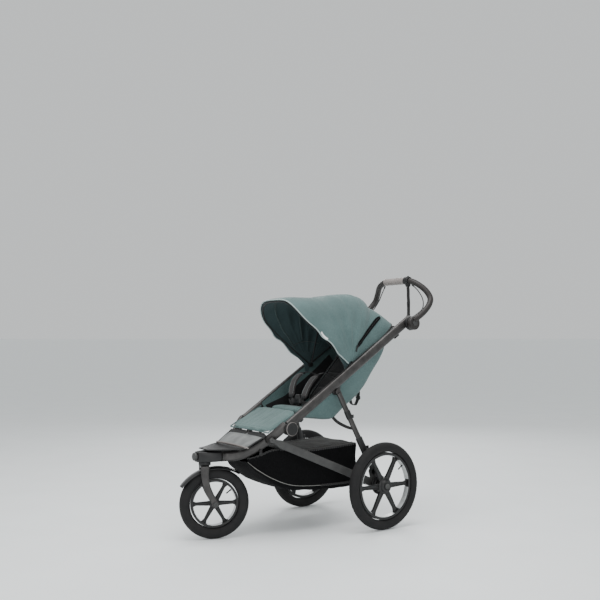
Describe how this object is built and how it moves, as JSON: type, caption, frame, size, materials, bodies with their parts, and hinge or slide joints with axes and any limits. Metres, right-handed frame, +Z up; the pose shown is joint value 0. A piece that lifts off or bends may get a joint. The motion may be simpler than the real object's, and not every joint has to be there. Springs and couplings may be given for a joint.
{
  "type": "baby stroller",
  "caption": "Three-wheel jogging stroller with a folding tube frame, swivel front wheel, fan canopy, reclining fabric seat, tilting handlebar and an under-seat basket.",
  "frame": {"origin": "on the floor, under the middle of the stroller's overall box", "axes": "+Z up; the stroller faces -Y, so +Y is its long axis toward the handlebar; +X is its own left side"},
  "size_m": [0.692, 1.2963, 1.201],
  "materials": {
    "graphite": "satin",
    "grey_metal": "satin",
    "black_plastic": "matte",
    "wheel_black": "satin",
    "tyre": "matte",
    "light_panel": "satin",
    "fabric_teal": "matte",
    "fabric_black": "matte",
    "fabric_grey": "matte",
    "grip_leather": "satin",
    "silver_grip": "satin",
    "cable_black": "satin"
  },
  "bodies": {
    "front_frame": {"front_tube_left": "graphite", "front_tube_right": "graphite", "head_housing": "black_plastic", "footrest_tray": "black_plastic", "footrest_panel": "light_panel", "leg_rest_bar": "graphite", "leg_rest_fabric": "fabric_teal", "basket": "fabric_black", "basket_cover": "fabric_grey"},
    "swivel_lock": {"swivel_lock_knob": "black_plastic"},
    "caster": {"front_fork": "graphite", "front_mudguard": "black_plastic", "front_axle": "grey_metal"},
    "front_wheel": {"front_tyre": "tyre", "front_rim": "wheel_black"},
    "upper_frame": {"upper_tube_left": "graphite", "upper_tube_right": "graphite", "hinge_cap_left": "black_plastic", "hinge_cap_right": "black_plastic", "handle_housing_left": "black_plastic", "handle_housing_right": "black_plastic", "canopy_pivot_left": "black_plastic", "canopy_pivot_right": "black_plastic", "seat_side_left": "fabric_teal", "seat_side_right": "fabric_teal", "back_cross_bar": "black_plastic", "seat_base": "fabric_teal", "crotch_buckle": "black_plastic", "canopy_fabric": "fabric_teal"},
    "seat_back": {"seat_back": "fabric_teal", "harness_left": "fabric_black", "harness_right": "fabric_black"},
    "canopy_front": {"canopy_front_bow": "black_plastic"},
    "canopy_mid": {"canopy_mid_bow": "black_plastic"},
    "handlebar": {"handlebar": "grip_leather", "handle_clamp": "black_plastic", "wrist_strap": "fabric_black", "brake_cable_left": "cable_black", "brake_cable_right": "cable_black"},
    "twist_grip": {"brake_twist_grip": "silver_grip"},
    "handle_button_left": {"handle_button_left": "black_plastic"},
    "handle_button_right": {"handle_button_right": "black_plastic"},
    "carriage": {"rear_axle": "graphite", "lower_bar_left": "grey_metal", "lower_bar_right": "grey_metal", "hub_bracket_left": "black_plastic", "hub_bracket_right": "black_plastic"},
    "parking_brake": {"brake_pedal": "black_plastic"},
    "rear_legs": {"rear_leg_left": "graphite", "rear_leg_right": "graphite", "leg_socket_left": "black_plastic", "leg_socket_right": "black_plastic"},
    "rear_wheel_left": {"rear_tyre_left": "tyre", "rear_rim_left": "wheel_black"},
    "rear_wheel_right": {"rear_tyre_right": "tyre", "rear_rim_right": "wheel_black"},
    "wheel_button_left": {"wheel_button_left": "grey_metal"},
    "wheel_button_right": {"wheel_button_right": "grey_metal"}
  },
  "joints": [
    {"name": "front_swivel", "type": "hinge", "parent": "front_frame", "child": "caster", "pos_m": [0, -0.54265, 0.3], "axis": [0, 0, 1], "continuous": true},
    {"name": "front_wheel_spin", "type": "hinge", "parent": "caster", "child": "front_wheel", "pos_m": [0.01517, -0.50135, 0.155], "axis": [0.9387, -0.3448, 0], "continuous": true},
    {"name": "swivel_lock_turn", "type": "hinge", "parent": "front_frame", "child": "swivel_lock", "pos_m": [0, -0.59105, 0.364], "axis": [0, -1, 0], "range_deg": [0, 90]},
    {"name": "frame_fold", "type": "hinge", "parent": "front_frame", "child": "upper_frame", "pos_m": [0, -0.21665, 0.479], "axis": [-1, 0, 0], "range_deg": [0, 110], "deforming": ["leg_rest_fabric", "basket", "basket_cover"]},
    {"name": "carriage_fold", "type": "hinge", "parent": "front_frame", "child": "carriage", "pos_m": [0, -0.30565, 0.432], "axis": [-1, 0, 0], "range_deg": [0, 90.1]},
    {"name": "leg_fold", "type": "hinge", "parent": "upper_frame", "child": "rear_legs", "pos_m": [0, 0.04935, 0.632], "axis": [1, 0, 0], "range_deg": [0, 36.7]},
    {"name": "seat_recline", "type": "hinge", "parent": "upper_frame", "child": "seat_back", "pos_m": [0, 0.05935, 0.556], "axis": [1, 0, 0], "range_deg": [-18, 12], "deforming": ["harness_left", "harness_right"]},
    {"name": "canopy_fold", "type": "hinge", "parent": "upper_frame", "child": "canopy_front", "pos_m": [0, 0.14935, 0.748], "axis": [-1, 0, 0], "range_deg": [0, 92], "deforming": ["canopy_fabric"]},
    {"name": "canopy_mid_fold", "type": "hinge", "parent": "upper_frame", "child": "canopy_mid", "pos_m": [0, 0.14935, 0.748], "axis": [-1, 0, 0], "range_deg": [0, 31.3]},
    {"name": "handle_tilt", "type": "hinge", "parent": "upper_frame", "child": "handlebar", "pos_m": [0, 0.50235, 0.957], "axis": [1, 0, 0], "range_deg": [-65, 35], "deforming": ["brake_cable_left", "brake_cable_right"]},
    {"name": "brake_twist", "type": "hinge", "parent": "handlebar", "child": "twist_grip", "pos_m": [0, 0.60135, 1.181], "axis": [1, 0, 0], "range_deg": [0, 25], "stiffness_Nm_per_rad": 0.5},
    {"name": "handle_button_left_press", "type": "slide", "parent": "handlebar", "child": "handle_button_left", "axis": [-1, 0, 0], "range_m": [0, 0.004], "stiffness_N_per_m": 400},
    {"name": "handle_button_right_press", "type": "slide", "parent": "handlebar", "child": "handle_button_right", "axis": [1, 0, 0], "range_m": [0, 0.004], "stiffness_N_per_m": 400},
    {"name": "parking_brake_press", "type": "hinge", "parent": "carriage", "child": "parking_brake", "pos_m": [0, 0.22435, 0.2], "axis": [-1, 0, 0], "range_deg": [0, 20]},
    {"name": "rear_wheel_left_spin", "type": "hinge", "parent": "carriage", "child": "rear_wheel_left", "pos_m": [0.319, 0.22435, 0.2], "axis": [1, 0, 0], "continuous": true},
    {"name": "rear_wheel_right_spin", "type": "hinge", "parent": "carriage", "child": "rear_wheel_right", "pos_m": [-0.319, 0.22435, 0.2], "axis": [1, 0, 0], "continuous": true},
    {"name": "wheel_button_left_press", "type": "slide", "parent": "rear_wheel_left", "child": "wheel_button_left", "axis": [-1, 0, 0], "range_m": [0, 0.003], "stiffness_N_per_m": 400},
    {"name": "wheel_button_right_press", "type": "slide", "parent": "rear_wheel_right", "child": "wheel_button_right", "axis": [1, 0, 0], "range_m": [0, 0.003], "stiffness_N_per_m": 400}
  ],
  "couplings": [
    {"joint": "carriage_fold", "follows": "frame_fold", "ratio": 0.8187},
    {"joint": "leg_fold", "follows": "frame_fold", "ratio": 0.3327},
    {"joint": "canopy_mid_fold", "follows": "canopy_fold", "ratio": 0.34}
  ]
}
